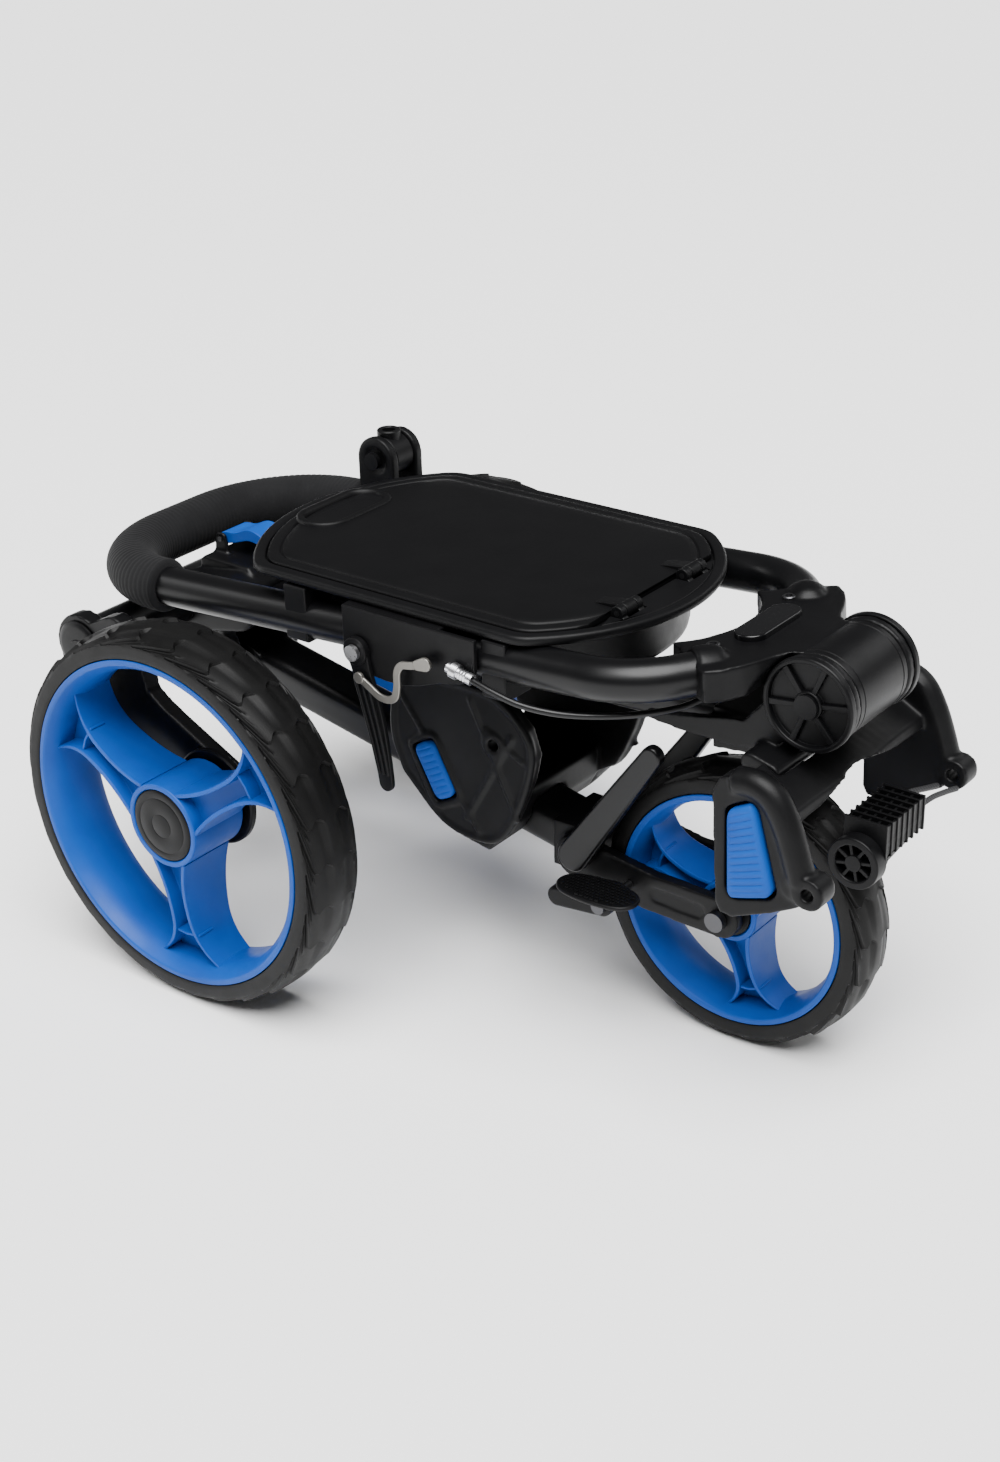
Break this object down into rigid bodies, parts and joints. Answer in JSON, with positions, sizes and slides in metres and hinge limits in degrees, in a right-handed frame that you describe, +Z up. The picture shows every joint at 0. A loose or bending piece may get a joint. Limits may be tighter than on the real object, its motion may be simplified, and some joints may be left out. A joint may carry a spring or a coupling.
{
  "type": "golf push trolley",
  "caption": "Folded golf push trolley with ring handle, lidded console, bag cradles, large rear wheels and a smaller front wheel.",
  "frame": {"origin": "on the ground, under the middle of the folded trolley's outline", "axes": "+Z up, +X along the folded frame towards the small front wheel, +Y across the trolley, towards its right wheel"},
  "size_m": [0.6399, 0.402, 0.336],
  "materials": {
    "black_frame": "satin",
    "black_tube": "gloss",
    "foam": "matte",
    "black_casting": "satin",
    "black_plastic": "satin",
    "blue_plastic": "gloss",
    "blue_rubber": "matte",
    "tyre_rubber": "matte",
    "elastic_cord": "woven",
    "cable_casing": "satin",
    "zinc_steel": "satin",
    "black_screw": "satin",
    "bronze": "satin"
  },
  "bodies": {
    "main_frame": {"spine_beam": "black_frame", "spine_head": "black_casting", "barrel_caps": "black_casting", "barrel_bolt": "zinc_steel", "upper_bracket": "black_plastic", "upper_pads": "blue_rubber", "strap_clip": "black_plastic", "bungee_cord": "elastic_cord", "hinge_housing": "black_casting", "leg_shaft": "black_frame", "arm_pin": "zinc_steel", "release_pin": "zinc_steel"},
    "handle": {"handle_tube": "black_tube", "foam_grip": "foam", "yoke": "black_casting", "badge_plate": "black_casting", "yoke_screws": "black_screw", "barrel_shell": "black_casting", "barrel_bushes": "bronze", "console_tray": "black_plastic", "console_clamps": "black_plastic", "tray_screws": "zinc_steel", "lid_pin": "zinc_steel", "brake_bracket": "black_plastic", "lever_screw": "zinc_steel", "cable_adjuster": "zinc_steel", "brake_cable": "cable_casing", "knuckle_clamp": "black_plastic", "knuckle_bolt": "zinc_steel"},
    "lid": {"console_lid": "black_plastic"},
    "latch": {"lid_latch": "black_plastic"},
    "knuckle": {"accessory_knuckle": "black_plastic"},
    "lever": {"brake_lever": "black_plastic"},
    "link": {"brake_link": "zinc_steel"},
    "release": {"release_lever": "blue_plastic"},
    "rear_legs": {"left_leg": "black_casting", "right_leg": "black_casting", "leg_sleeves": "black_frame", "rear_axles": "zinc_steel", "brake_drums": "black_casting"},
    "rear_wheel_left": {"left_tyre": "tyre_rubber", "left_rim": "blue_plastic", "left_hub_cap": "black_plastic", "left_bearings": "zinc_steel"},
    "rear_wheel_right": {"right_tyre": "tyre_rubber", "right_rim": "blue_plastic", "right_hub_cap": "black_plastic", "right_bearings": "zinc_steel"},
    "front_arm": {"front_arm": "black_frame", "fork": "black_casting", "front_axle_bolt": "zinc_steel", "lower_bracket": "black_plastic", "lower_pads": "blue_rubber", "fold_struts": "black_frame", "pedal_pin": "zinc_steel"},
    "front_wheel": {"front_tyre": "tyre_rubber", "front_rim": "blue_plastic", "front_hub_caps": "black_plastic", "front_bearings": "zinc_steel"},
    "pedal": {"fold_pedal": "black_plastic"}
  },
  "joints": [
    {"name": "handle_fold", "type": "hinge", "parent": "main_frame", "child": "handle", "pos_m": [0.271, 0, 0.281], "axis": [0, 1, 0], "range_deg": [0, 150]},
    {"name": "lid_hinge", "type": "hinge", "parent": "handle", "child": "lid", "pos_m": [0.135, 0, 0.312], "axis": [0, 1, 0], "range_deg": [0, 105]},
    {"name": "latch_slide", "type": "slide", "parent": "lid", "child": "latch", "axis": [-1, 0, 0], "range_m": [0, 0.001], "stiffness_N_per_m": 400},
    {"name": "knuckle_tilt", "type": "hinge", "parent": "handle", "child": "knuckle", "pos_m": [-0.178, 0.1017, 0.316], "axis": [0, 1, 0], "range_deg": [-90, 90]},
    {"name": "brake_pull", "type": "hinge", "parent": "handle", "child": "lever", "pos_m": [-0.022, -0.123, 0.2746], "axis": [0, 1, 0], "range_deg": [0, 55], "stiffness_Nm_per_rad": 0.35},
    {"name": "brake_link_turn", "type": "hinge", "parent": "lever", "child": "link", "pos_m": [-0.017, -0.127, 0.258], "axis": [0, 1, 0], "range_deg": [-55, 0]},
    {"name": "release_press", "type": "hinge", "parent": "main_frame", "child": "release", "pos_m": [-0.252, 0, 0.268], "axis": [0, 1, 0], "range_deg": [0, 8], "stiffness_Nm_per_rad": 2},
    {"name": "arm_fold", "type": "hinge", "parent": "main_frame", "child": "front_arm", "pos_m": [-0.243, 0, 0.178], "axis": [0, 1, 0], "range_deg": [0, 165]},
    {"name": "legs_fold", "type": "hinge", "parent": "main_frame", "child": "rear_legs", "pos_m": [-0.273, 0, 0.222], "axis": [0, 1, 0], "range_deg": [-120, 0]},
    {"name": "front_wheel_spin", "type": "hinge", "parent": "front_arm", "child": "front_wheel", "pos_m": [0.205, 0, 0.1025], "axis": [0, 1, 0], "continuous": true},
    {"name": "left_wheel_spin", "type": "hinge", "parent": "rear_legs", "child": "rear_wheel_left", "pos_m": [-0.143, -0.174, 0.14], "axis": [0, 1, 0], "continuous": true},
    {"name": "right_wheel_spin", "type": "hinge", "parent": "rear_legs", "child": "rear_wheel_right", "pos_m": [-0.143, 0.174, 0.14], "axis": [0, 1, 0], "continuous": true},
    {"name": "pedal_press", "type": "hinge", "parent": "front_arm", "child": "pedal", "pos_m": [0.134, -0.057, 0.106], "axis": [0, 1, 0], "range_deg": [-20, 0], "stiffness_Nm_per_rad": 1.2}
  ],
  "couplings": [
    {"joint": "brake_link_turn", "follows": "brake_pull", "ratio": -1},
    {"joint": "legs_fold", "follows": "arm_fold", "ratio": -0.7272}
  ]
}
